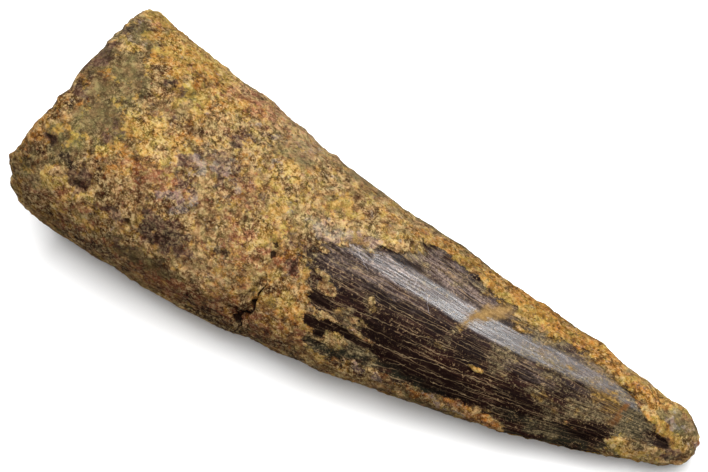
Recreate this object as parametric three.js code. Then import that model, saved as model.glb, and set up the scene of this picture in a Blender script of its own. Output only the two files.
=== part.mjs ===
// A large conical reptile tooth, fossilised in sandstone: its broken root and its crown,
// crusted with cemented sand, which has come away in a window over the fluted enamel on each
// broad face. Millimetres, +Z up. The tooth lies on a broad face with its axis along X, the
// root at -X and the tip at +X, and its convex edge is on -Y. The origin is under the middle
// of its box, on the surface that it rests on.
//
// Places on the tooth are given as a distance from the root's furthest splinter and as
// degrees around the axis: 0 is the concave edge, 90 the top, 180 the convex edge and 270
// the underside.
import * as THREE from "three";
import { ImprovedNoise } from "three/addons/math/ImprovedNoise.js";

// ---- Driving dimensions ------------------------------------------------------------------
const LENGTH = 100.7;
const TIP_ROUNDING = 4.6; // the worn tip is an ellipsoid this long
const RIM_WEAR = 0.4; // how far the edge of the break is worn back
const RIM_REACH = 25; // how far up the root the sections still slant with the break
const COARSE_LUMPS = { size: 7, height: 0.6 };
const FINE_LUMPS = { size: 3, height: 0.5 };
const ENAMEL_SMOOTHNESS = 0.9; // the share of the lumps that is missing on the enamel
const LEDGE_WIDTH = 1.1;
const FLUTES = { count: 32, depth: 0.05, from: 40, full: 50, worn: 84, gone: 94 };
const KEEL = { height: 0.35, degrees: 9, from: 40, full: 60 };

// The tooth's outline along its axis: [distance, concave edge, convex edge, top, underside,
// squareness]. The edges are Y, the top and underside Z, and a squareness of 2 is an ellipse.
const SECTIONS = [
  [0, 17.6, -15.7, 26.0, 0.9, 2.55],
  [5, 17.2, -16.0, 26.2, 0.2, 2.55],
  [9, 16.4, -16.2, 26.2, 0.0, 2.5],
  [18, 15.1, -16.7, 25.6, -0.35, 2.5],
  [27, 14.4, -16.5, 24.4, -0.4, 2.45],
  [35, 13.2, -15.8, 23.0, -0.4, 2.35],
  [43, 12.6, -14.7, 21.5, -0.4, 2.25],
  [52, 12.1, -13.4, 20.0, -0.35, 2.15],
  [60, 11.7, -11.8, 18.4, -0.2, 2.1],
  [69, 11.1, -9.7, 16.6, 0.0, 2.05],
  [77, 11.0, -7.5, 14.7, 0.2, 2.0],
  [85, 10.2, -4.7, 12.6, 0.5, 2.0],
  [91, 9.8, -2.0, 10.9, 0.7, 2.0],
  [96, 9.4, 0.3, 9.4, 0.8, 2.0],
  [101, 8.9, 1.0, 8.4, 0.9, 2.0],
];

// The broken rim: [degrees, distance].
const RIM = [
  [0, 3.8],
  [45, 3.6],
  [90, 3.0],
  [120, 1.8],
  [135, 1.0],
  [152, 0.3],
  [165, 0.5],
  [180, 1.2],
  [190, 3.0],
  [205, 4.8],
  [225, 5.0],
  [270, 4.4],
  [315, 4.0],
  [360, 3.8],
];
// Steps in the rim, where splinters have broken off: [from degrees, to degrees, set back].
const SPLINTERS = [
  [34, 66, 0.5],
  [79, 85, 0.4],
  [97, 104, 0.5],
  [212, 240, 0.8],
  [290, 306, 0.6],
];
// The break from its rim inwards: [share of the way out, how far it is sunk]. The wall of
// the root stands around the pulp cavity, which is full of sandstone.
const BREAK = [
  [0.93, -0.2],
  [0.7, 0.2],
  [0.6, 1.2],
  [0.3, 1.5],
];
const BREAK_HEART = 1.6;

// Where the crust has come away, to a given depth: outlines of [distance, degrees].
const BARE = [
  {
    depth: 0.5, // the enamel of the upper face
    outline: [
      [40, 101],
      [46, 89],
      [51, 81],
      [54, 75],
      [57, 55],
      [67, 54],
      [70, 64],
      [86, 62],
      [89, 70],
      [93, 94],
      [98, 126],
      [94, 147],
      [90, 139],
      [90, 170],
      [85, 180],
      [77, 170],
      [68, 172],
      [61, 160],
      [48, 162],
      [46, 126],
    ],
  },
  {
    depth: 0.5, // the enamel of the underside
    outline: [
      [46, 240],
      [58, 205],
      [76, 212],
      [88, 204],
      [93, 250],
      [88, 312],
      [72, 322],
      [60, 306],
      [52, 288],
    ],
  },
  {
    depth: 0.25, // the smooth surface of the root beside the break
    outline: [
      [-2, 66],
      [8, 78],
      [12, 88],
      [13, 112],
      [8, 124],
      [-2, 124],
    ],
  },
];

// Lumps and pits in the surface: [distance, degrees, radius, height].
const BLEMISHES = [
  [37.5, 20, 1.5, 0.9],
  [31.5, 14, 1.8, 0.45],
  [6, 26, 2.2, 0.4],
  [1, 150, 2, 0.4],
  [90, 50, 2.2, 0.6],
  [97, 30, 2.6, 0.45],
  [47, 108, 1.8, 0.5],
  [49, 146, 1.9, 0.45],
  [38.5, 167, 2.2, -1.3],
  [39, 108, 1.6, -0.9],
  [4.5, 126, 1.9, -0.8],
  [15, 74, 1.6, -0.8],
  [11.5, 138, 2.6, -0.5],
  [84.5, 200, 2, 0.6],
  [30, 200, 3.5, 0.45],
  [24, 250, 3.2, -0.8],
  [30, 222, 2.4, 0.6],
  [52, 210, 2, -0.7],
  [17, 320, 2.8, 0.6],
];

// A crack across the convex side of the root.
const CRACK = { at: 40, from: 126, to: 182, width: 0.9, depth: 1.4, wander: 0.35, bends: 5 };

// ---- Mesh density ------------------------------------------------------------------------
const COLUMNS = 64;
const ROOT_RINGS = 26;
const CRACK_RINGS = 4;
const CROWN_RINGS = 37;
const TIP_RINGS = 6;

// ---- The smooth form ---------------------------------------------------------------------
const { clamp, degToRad, smoothstep } = THREE.MathUtils;

// A smooth curve through rows of [place, value, value, ...].
function curveThrough(rows) {
  const places = rows.map((row) => row[0]);
  const values = rows.flatMap((row) => row.slice(1));
  return new THREE.CubicInterpolant(places, values, rows[0].length - 1);
}

const sections = curveThrough(SECTIONS);
const rim = curveThrough(RIM);

function rimAt(degrees) {
  const broken = SPLINTERS.find(([from, to]) => degrees > from && degrees < to);
  return rim.evaluate(degrees)[0] + (broken ? broken[2] : 0);
}

function formAt(distance, degrees) {
  const [concave, convex, top, underside, squareness] = sections.evaluate(distance);
  const pastBody = clamp((distance - LENGTH) / TIP_ROUNDING + 1, 0, 1);
  const closing = Math.sqrt(1 - pastBody * pastBody) / 2;
  const across = Math.cos(degToRad(degrees));
  const up = Math.sin(degToRad(degrees));
  const bulge = (share) => Math.sign(share) * Math.abs(share) ** (2 / squareness) * closing;
  return new THREE.Vector3(
    distance,
    (concave + convex) / 2 + (concave - convex) * bulge(across),
    (top + underside) / 2 + (top - underside) * bulge(up),
  );
}

// The way out of the smooth form, from small steps along and around it.
function outwardAt(distance, degrees) {
  const step = 0.2;
  const inBody = clamp(distance, 2 * step, LENGTH - 2 * step);
  const along = formAt(inBody + step, degrees).sub(formAt(inBody - step, degrees));
  const around = formAt(inBody, degrees + step).sub(formAt(inBody, degrees - step));
  return around.cross(along).normalize();
}

// ---- The relief --------------------------------------------------------------------------
const noise = new ImprovedNoise();

// The way from one place on the tooth to another, in millimetres along and around it.
function stepBetween(from, to) {
  const [concave, convex, top, underside] = sections.evaluate(from[0]);
  const millimetresPerDegree = degToRad((concave - convex + top - underside) / 4);
  return new THREE.Vector2(to[0] - from[0], (to[1] - from[1]) * millimetresPerDegree);
}

// How far a place lies inside an outline, and below zero how far outside.
function depthInside(outline, place) {
  const corners = outline.map((corner) => stepBetween(place, corner));
  let nearest = Infinity;
  let inside = false;
  corners.forEach((corner, i) => {
    const next = corners[(i + 1) % corners.length];
    const side = next.clone().sub(corner);
    const share = clamp(-corner.dot(side) / side.lengthSq(), 0, 1);
    nearest = Math.min(nearest, side.clone().multiplyScalar(share).add(corner).length());
    if (corner.y > 0 !== next.y > 0) {
      const crossing = corner.x - (corner.y / side.y) * side.x;
      if (crossing > 0) inside = !inside;
    }
  });
  return inside ? nearest : -nearest;
}

function bareness(outline, place) {
  return smoothstep(depthInside(outline, place), -LEDGE_WIDTH / 2, LEDGE_WIDTH / 2);
}

function lumpsAt({ size, height }, point) {
  return height * noise.noise(point.x / size, point.y / size, point.z / size);
}

function fluteAt(distance, degrees) {
  const begun = smoothstep(distance, FLUTES.from, FLUTES.full);
  const kept = 1 - smoothstep(distance, FLUTES.worn, FLUTES.gone);
  return begun * kept * FLUTES.depth * Math.cos(degToRad(degrees * FLUTES.count));
}

function keelAt(distance, degrees) {
  const offKeel = Math.abs(((degrees + 90) % 180) - 90);
  const fade = smoothstep(distance, KEEL.from, KEEL.full);
  return fade * KEEL.height * Math.max(1 - offKeel / KEEL.degrees, 0);
}

function blemishesAt(place) {
  let height = 0;
  for (const [distance, degrees, radius, rise] of BLEMISHES) {
    const away = stepBetween(place, [distance, degrees]).length();
    height += rise * (1 - smoothstep(away, 0, radius));
  }
  return height;
}

// How far around the crack a place is, from 0 at one end to 1 at the other.
function crackShare(degrees) {
  return clamp((degrees - CRACK.from) / (CRACK.to - CRACK.from), 0, 1);
}

function crackBend(degrees) {
  return CRACK.wander * Math.sin(Math.PI * CRACK.bends * crackShare(degrees));
}

function crackAt(distance, degrees) {
  const away = Math.abs(distance - CRACK.at - crackBend(degrees));
  const depth = CRACK.depth * Math.abs(Math.sin(Math.PI * crackShare(degrees))) ** 0.5;
  return -depth * Math.max(1 - away / (CRACK.width / 2), 0);
}

function reliefAt(distance, degrees) {
  const place = [distance, degrees];
  const form = formAt(distance, degrees);
  let height = keelAt(distance, degrees) + blemishesAt(place) + crackAt(distance, degrees);
  let crust = 1;
  for (const { depth, outline } of BARE) {
    const bare = bareness(outline, place);
    height += bare * (fluteAt(distance, degrees) - depth);
    crust -= bare * ENAMEL_SMOOTHNESS;
  }
  return height + crust * (lumpsAt(COARSE_LUMPS, form) + lumpsAt(FINE_LUMPS, form));
}

function surfaceAt(distance, degrees, sunk = 0) {
  const height = reliefAt(distance, degrees) - sunk;
  return formAt(distance, degrees).addScaledVector(outwardAt(distance, degrees), height);
}

// ---- The solid ---------------------------------------------------------------------------
const vertices = [];
const triangles = [];

function addVertex(point) {
  vertices.push(point.x, point.y, Math.max(point.z, 0)); // flat where it rests
  return vertices.length / 3 - 1;
}

function addRing(pointAt) {
  const first = vertices.length / 3;
  for (let i = 0; i < COLUMNS; i++) addVertex(pointAt((360 * i) / COLUMNS));
  return first;
}

function addBand(a, b) {
  for (let i = 0; i < COLUMNS; i++) {
    const j = (i + 1) % COLUMNS;
    triangles.push(a + i, a + j, b + j, a + i, b + j, b + i);
  }
}

function evenly(from, to, count) {
  return Array.from({ length: count }, (_, i) => from + ((to - from) * i) / count);
}

// Where the rings stand: close together at the crack, and closing in on the tip.
function ringStops() {
  const crackStart = CRACK.at - CRACK.width;
  const crackEnd = CRACK.at + CRACK.width;
  const bodyEnd = LENGTH - TIP_ROUNDING;
  const tipTurns = evenly(0, 90, TIP_RINGS);
  return [
    ...evenly(0, crackStart, ROOT_RINGS),
    ...evenly(crackStart, crackEnd, CRACK_RINGS),
    ...evenly(crackEnd, bodyEnd, CROWN_RINGS),
    ...tipTurns.map((turn) => bodyEnd + TIP_ROUNDING * Math.sin(degToRad(turn))),
  ];
}

// How far from the root a ring is at some degrees: it slants beside the break, and bends
// with the crack.
function ringDistance(stop, degrees) {
  const slant = rimAt(degrees) * Math.max(1 - stop / RIM_REACH, 0);
  const nearCrack = clamp(2 - Math.abs(stop - CRACK.at) / CRACK.width, 0, 1);
  return stop + slant + crackBend(degrees) * nearCrack;
}

function addSide() {
  let last = null;
  for (const stop of ringStops()) {
    const sunk = stop === 0 ? RIM_WEAR : 0;
    const ring = addRing((degrees) => surfaceAt(ringDistance(stop, degrees), degrees, sunk));
    if (last !== null) addBand(last, ring);
    last = ring;
  }
  const tip = addVertex(formAt(LENGTH, 0));
  for (let i = 0; i < COLUMNS; i++) triangles.push(last + i, last + ((i + 1) % COLUMNS), tip);
}

// The broken end, from the first ring inwards.
function addBreak() {
  const [concave, convex, top, underside] = sections.evaluate(0);
  const middle = new THREE.Vector3(rimAt(90), (concave + convex) / 2, (top + underside) / 2);
  let last = 0;
  for (const [share, sunk] of BREAK) {
    const ring = addRing((degrees) => {
      const edge = surfaceAt(rimAt(degrees), degrees, RIM_WEAR);
      const point = middle.clone().lerp(edge, share);
      point.x += sunk + lumpsAt(FINE_LUMPS, point);
      return point;
    });
    addBand(ring, last);
    last = ring;
  }
  const heart = addVertex(middle.setX(middle.x + BREAK_HEART));
  for (let i = 0; i < COLUMNS; i++) triangles.push(heart, last + ((i + 1) % COLUMNS), last + i);
}

addSide();
addBreak();

const geometry = new THREE.BufferGeometry()
  .setAttribute("position", new THREE.Float32BufferAttribute(vertices, 3))
  .setIndex(triangles);
geometry.computeBoundingBox();
const middle = geometry.boundingBox.getCenter(new THREE.Vector3());
geometry.translate(-middle.x, -middle.y, 0);

const tooth = new THREE.Mesh(
  geometry,
  new THREE.MeshStandardMaterial({ color: 0x8f6c35, roughness: 0.85, metalness: 0 }),
);
tooth.name = "tooth";

const group = new THREE.Group();
group.add(tooth);

export default group;
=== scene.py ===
# A spinosaurus tooth from a sandstone bed, lying on its side: the long conical crown with
# its dark enamel, and the broken root, both crusted with cemented sand.
import math

import bpy
import numpy as np
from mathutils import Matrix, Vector


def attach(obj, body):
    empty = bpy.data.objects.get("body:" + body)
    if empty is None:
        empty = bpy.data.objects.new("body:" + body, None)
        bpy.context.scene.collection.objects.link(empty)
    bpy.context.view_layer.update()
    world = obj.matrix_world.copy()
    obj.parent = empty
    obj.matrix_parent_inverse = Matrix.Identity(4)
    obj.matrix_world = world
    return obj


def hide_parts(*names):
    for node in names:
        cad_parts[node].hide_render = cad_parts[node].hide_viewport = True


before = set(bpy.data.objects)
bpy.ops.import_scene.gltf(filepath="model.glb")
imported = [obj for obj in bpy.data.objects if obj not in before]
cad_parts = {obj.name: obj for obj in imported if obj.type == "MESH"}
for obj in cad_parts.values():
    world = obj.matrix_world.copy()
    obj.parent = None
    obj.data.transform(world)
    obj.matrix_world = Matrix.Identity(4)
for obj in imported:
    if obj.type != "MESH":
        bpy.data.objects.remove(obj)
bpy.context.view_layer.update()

# ---- The camera ---------------------------------------------------------------------------
# A long lens looks down on the tooth from the side of its convex edge, with the tip to the
# lower right. It is fixed to nothing that it shows.
CAMERA_AZIMUTH = math.radians(32.56)
CAMERA_ELEVATION = math.radians(65)
CAMERA_DISTANCE = 0.95
CAMERA_LENS_MM = 345.4
AIM_RIGHT = -0.00203
AIM_UP = 0.00604
TOOTH_MIDDLE = Vector((0, 0, 0.012))

to_camera = Vector((
    math.sin(CAMERA_AZIMUTH) * math.cos(CAMERA_ELEVATION),
    -math.cos(CAMERA_AZIMUTH) * math.cos(CAMERA_ELEVATION),
    math.sin(CAMERA_ELEVATION),
))
camera_data = bpy.data.cameras.new("camera")
camera_data.lens = CAMERA_LENS_MM
camera_data.sensor_width = 36
camera = bpy.data.objects.new("camera", camera_data)
bpy.context.scene.collection.objects.link(camera)
camera.rotation_euler = to_camera.to_track_quat("Z", "Y").to_euler()
camera_turn = camera.rotation_euler.to_matrix()
aim = TOOTH_MIDDLE + camera_turn @ Vector((AIM_RIGHT, AIM_UP, 0))
camera.location = aim + to_camera * CAMERA_DISTANCE
bpy.context.scene.camera = camera

# ---- The tooth: its form ------------------------------------------------------------------
# One fossil: the mineralised root and crown with their crust, grown together. Its form is
# the frame's own solid, merged and smoothed, and it lies loose on the surface.
MERGE_DISTANCE = 1e-6
SMOOTHING_LEVELS = 2

bpy.ops.object.select_all(action="DESELECT")
tooth = bpy.data.objects.new("fossil_tooth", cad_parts["tooth"].data.copy())
bpy.context.scene.collection.objects.link(tooth)
tooth.select_set(True)
bpy.context.view_layer.objects.active = tooth
bpy.ops.object.mode_set(mode="EDIT")
bpy.ops.mesh.select_all(action="SELECT")
bpy.ops.mesh.remove_doubles(threshold=MERGE_DISTANCE)
bpy.ops.mesh.tris_convert_to_quads()
bpy.ops.object.mode_set(mode="OBJECT")
smoothing = tooth.modifiers.new("smoothing", "SUBSURF")
smoothing.levels = smoothing.render_levels = SMOOTHING_LEVELS
bpy.ops.object.modifier_apply(modifier=smoothing.name)
bpy.ops.object.shade_smooth()
mesh = tooth.data


# ---- The tooth: where things are on it -----------------------------------------------------
# The enamel shows in a window on each broad face, where the crust has come away. Places on
# the upper side are in millimetres, along the tooth from its root and across it from its
# concave edge, on a plane that is rolled and pitched to face the side that shows most.
# Every length in this section and the next is in millimetres.
ALONG = np.array((0.9738, 0.0831, -0.2117))
ACROSS = np.array((0.0, -0.9308, -0.3658))
ALONG_AT_MIDDLE = 48.35
ACROSS_AT_MIDDLE = 3.55
SECTIONS = 60
SECTION_REACH = 1.2
MILLIMETRES_PER_DEGREE = 0.19


def read_vertices(field):
    values = np.empty(len(mesh.vertices) * 3)
    mesh.vertices.foreach_get(field, values)
    return values.reshape(-1, 3)


def smoothstep(values, low, high):
    share = np.clip((values - low) / (high - low), 0, 1)
    return share * share * (3 - 2 * share)


place = (read_vertices("co") - np.array(TOOTH_MIDDLE)) * 1000
normal = read_vertices("normal")
along = ALONG_AT_MIDDLE + place @ ALONG
across = ACROSS_AT_MIDDLE + place @ ACROSS
facing = normal @ np.array(to_camera)
upper = smoothstep(facing, -0.25, 0.1)
mostly_upper = upper > 0.3

# On the lower side, a place is the distance from the root and the way round the tooth, which
# is measured about the middle of each section, from 0 at the top.
sections = np.linspace(place[:, 0].min(), place[:, 0].max(), SECTIONS)
centre_line = []
for section in sections:
    near = place[np.abs(place[:, 0] - section) < SECTION_REACH]
    centre_line.append((near[:, 1:].max(0) + near[:, 1:].min(0)) / 2)
centre_line = np.array(centre_line)
from_centre_y = place[:, 1] - np.interp(place[:, 0], sections, centre_line[:, 0])
from_centre_z = place[:, 2] - np.interp(place[:, 0], sections, centre_line[:, 1])
angle = np.arctan2(from_centre_y, from_centre_z)
distance = place[:, 0] - place[:, 0].min()
round_the_back = (np.degrees(angle) % 360) * MILLIMETRES_PER_DEGREE


def off_side(start, end, x, y):
    """How far each place is from the nearest point of a straight side, along x and along y."""
    side = end - start
    share = ((x - start[0]) * side[0] + (y - start[1]) * side[1]) / (side @ side)
    share = np.clip(share, 0, 1)
    return x - start[0] - share * side[0], y - start[1] - share * side[1]


def depth_inside(outline, x, y):
    """How far inside an outline each place is, and below zero how far outside."""
    corners = np.array(outline, float)
    nearest = np.full(len(x), np.inf)
    inside = np.zeros(len(x), bool)
    for start, end in zip(corners, np.roll(corners, -1, 0)):
        nearest = np.minimum(nearest, np.hypot(*off_side(start, end, x, y)))
        crosses = (start[1] > y) != (end[1] > y)
        side = end - start
        if side[1]:
            inside ^= crosses & (x < start[0] + (y - start[1]) * side[0] / side[1])
    return np.where(inside, nearest, -nearest)


def from_lines(lines, x, y):
    """How far each place is from the nearest of some lines, below zero on one side of it."""
    nearest = np.full(len(x), np.inf)
    for corners in lines:
        for start, end in zip(np.array(corners[:-1], float), np.array(corners[1:], float)):
            side = end - start
            off_x, off_y = off_side(start, end, x, y)
            signed = np.hypot(off_x, off_y) * np.sign(side[0] * off_y - side[1] * off_x)
            nearest = np.where(np.abs(signed) < np.abs(nearest), signed, nearest)
    return nearest


def soft_spots(spots, x, y):
    """The strongest of some soft ovals: [x, y, half length, half width, strength]."""
    strongest = np.zeros(len(x))
    for middle_x, middle_y, half_length, half_width, strength in spots:
        reach = np.hypot((x - middle_x) / half_length, (y - middle_y) / half_width)
        strongest = np.maximum(strongest, strength * smoothstep(-reach, -1.4, -0.5))
    return strongest


def waves(rows):
    """Low waves over the upper side: [height, turn along, turn across, start] for each."""
    total = np.zeros(len(along))
    for height, turn_along, turn_across, start in rows:
        total += height * np.sin(turn_along * along + turn_across * across + start)
    return total


def from_table(rows, where):
    """The values of a table of [place, value], read between its rows."""
    return np.interp(where, *np.array(rows, float).T)


def fitted(terms, values, chosen):
    """The surface of these terms that comes nearest to the values at the chosen vertices."""
    return terms @ np.linalg.lstsq(terms[chosen], values[chosen], rcond=None)[0]


def add_attribute(name, values):
    kind = "FLOAT" if values.ndim == 1 else "FLOAT_VECTOR"
    attribute = mesh.attributes.new(name, kind, "POINT")
    field = "value" if values.ndim == 1 else "vector"
    attribute.data.foreach_set(field, np.ascontiguousarray(values, np.float32).ravel())


# The window's edge on the upper side, and on the lower by distance and degrees round.
UPPER_WINDOW = [
    (39, 4.3), (40.4, 3.2), (41.5, 1.7), (43.2, 1.2), (43.4, 0.2), (46.4, 0), (48, -1.3),
    (50.4, -1.6), (50.8, -2.3), (52.2, -3.1), (53.5, -4.4), (56, -4.8), (59, -4.4), (62, -4.2),
    (65.4, -3.7), (68, -3.4), (68.6, -2.3), (72, -2.3), (76, -2.5), (79.5, -2.8), (82, -2.2),
    (86, -1.5), (88.6, -1), (90, 0.2), (92.4, 1.6), (95.9, 2.8), (95.1, 3.8), (91.6, 4.4),
    (88.5, 4.9), (88.2, 6.4), (88.9, 9.6), (84.5, 11.8), (76.6, 13.6), (74.6, 11.4), (70, 11.5),
    (67, 12.2), (64, 13), (58.3, 13.9), (53.1, 14.3), (49.4, 14.7), (47.2, 13.6), (46.9, 11.2),
    (45, 10.6), (43, 9), (41.2, 7), (40, 5.9),
]
LOWER_WINDOW = [
    (46, 150), (52, 198), (60, 216), (72, 232), (88, 222), (93, 160), (88, 114), (76, 122),
    (58, 115),
]
# Spots of bare enamel outside the window, and of crust that is left inside it. Depths are
# kept up to a few millimetres.
DEPTH_KEPT = 4
BARE_SPOTS = [
    (42.1, 7.4, 1.3, 1.2, 1), (44.2, 9.5, 2.6, 1.2, 1), (44.3, 12.6, 1.4, 0.9, 1),
    (46.3, 12.7, 1.4, 1.7, 1), (47.4, 15.1, 3.2, 0.7, 1), (51, 14.1, 3.4, 0.6, 1),
    (39.4, 5.2, 1.6, 1.4, 0.5), (55, -4.6, 3, 0.7, 0.8), (50.5, -1.2, 3.6, 0.5, 1),
    (93.6, 2.9, 2.4, 1, 1), (95, 2.8, 1.2, 0.8, 1),
]
CRUSTED_SPOTS = [
    (44, 7.5, 1.6, 1, 1), (42.2, 6.1, 1.2, 0.4, 0.9), (43.2, 6.6, 0.6, 1, 0.9),
    (41, 3, 0.9, 0.4, 1), (50.2, 5.8, 0.6, 0.7, 0.9), (48.6, 9.6, 3.2, 1, 0.5),
    (50, 10.9, 5.6, 0.5, 0.55), (46, 10.8, 2, 0.4, 0.8), (48.6, 13.4, 1.8, 1.3, 1),
    (67.5, 6.85, 1.2, 0.45, 0.9), (43.4, 1, 0.5, 0.5, 0.8), (46.4, 0, 1.6, 0.3, 0.8),
    (52.4, -3.5, 1, 0.6, 0.8), (54.8, 15, 4, 0.8, 1), (82.8, 7.1, 1.4, 0.5, 0.45),
    (70, -1.1, 1, 0.35, 0.8), (66.4, -3, 1.4, 0.4, 0.6),
]

upper_depth = depth_inside(UPPER_WINDOW, along, across)
bare_spots = soft_spots(BARE_SPOTS, along, across) * upper
crusted_spots = soft_spots(CRUSTED_SPOTS, along, across) * upper
lower_corners = [(x, turn * MILLIMETRES_PER_DEGREE) for x, turn in LOWER_WINDOW]
lower_depth = depth_inside(lower_corners, distance, round_the_back)
enamel_depth = np.where(mostly_upper, upper_depth, lower_depth)
enamel = np.maximum(smoothstep(enamel_depth, -0.4, 0.4), smoothstep(bare_spots, 0.3, 0.7))
enamel = enamel * (1 - smoothstep(crusted_spots, 0.3, 0.7))
add_attribute("enamel_depth", np.clip(enamel_depth, -DEPTH_KEPT, DEPTH_KEPT))
add_attribute("bare_spots", bare_spots)
add_attribute("crusted_spots", crusted_spots)

# The course that the enamel's lines follow: the distance from the root, and the way round as a
# place on a circle.
COURSE_RADIUS = 10
circle = COURSE_RADIUS * np.stack((np.sin(angle), np.cos(angle)), 1)
add_attribute("course", np.column_stack((distance, circle)))

# The crack, which runs down to a hole in the convex side, and a few small pits. The crack's
# half width goes by the place across, and its trench is wider than the gap.
CRACK = [
    (35.7, 10.2), (36.3, 11.4), (36.2, 12.8), (36.1, 14.2), (36.4, 15.2), (36.3, 15.9),
    (35.4, 16.5), (35, 17.3), (36, 18.2), (36.6, 18.8),
]
CRACK_DEPTH = 0.8
CRACK_HALF_WIDTH = [
    (10, 0.12), (13.4, 0.16), (14.2, 0.23), (15.6, 0.24), (16.4, 0.18), (18.4, 0.16),
]
PITS = [
    (34.8, 5.6, 0.4, 0.55, 0.8), (35.2, 7.2, 0.45, 0.75, 0.9), (35.2, 17.5, 0.8, 0.65, 1),
    (11.5, -6.4, 0.45, 0.35, 0.8), (-0.1, 8.8, 0.6, 0.5, 0.6), (6.9, 12.4, 1, 0.6, 0.55),
    (21.4, -4.4, 0.5, 0.35, 0.6), (33.6, 8.9, 1, 0.3, 0.5), (38.4, 10.2, 0.5, 0.3, 0.5),
    (8.3, 11.2, 0.5, 0.5, 0.5), (29, 10.4, 0.6, 0.4, 0.5), (15.2, 13.6, 0.5, 0.5, 0.5),
]
wobble = waves([(0.16, 2.3, 5.1, 0), (0.12, -4.3, 9.7, 0)])
off_crack = from_lines([CRACK], along, across)
trench = 0.26 + 0.16 * smoothstep(across, 10.5, 15)
pits = soft_spots(PITS, along + wobble, across + wobble) * upper
add_attribute("from_crack", np.clip(off_crack / from_table(CRACK_HALF_WIDTH, across), -4, 4))
add_attribute("near_crack", smoothstep(-np.abs(off_crack), -0.6, -0.45) * upper)
add_attribute("pits", pits)
crack = np.maximum(smoothstep(-np.abs(off_crack) / trench, -1, 0) * upper, pits)

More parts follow.
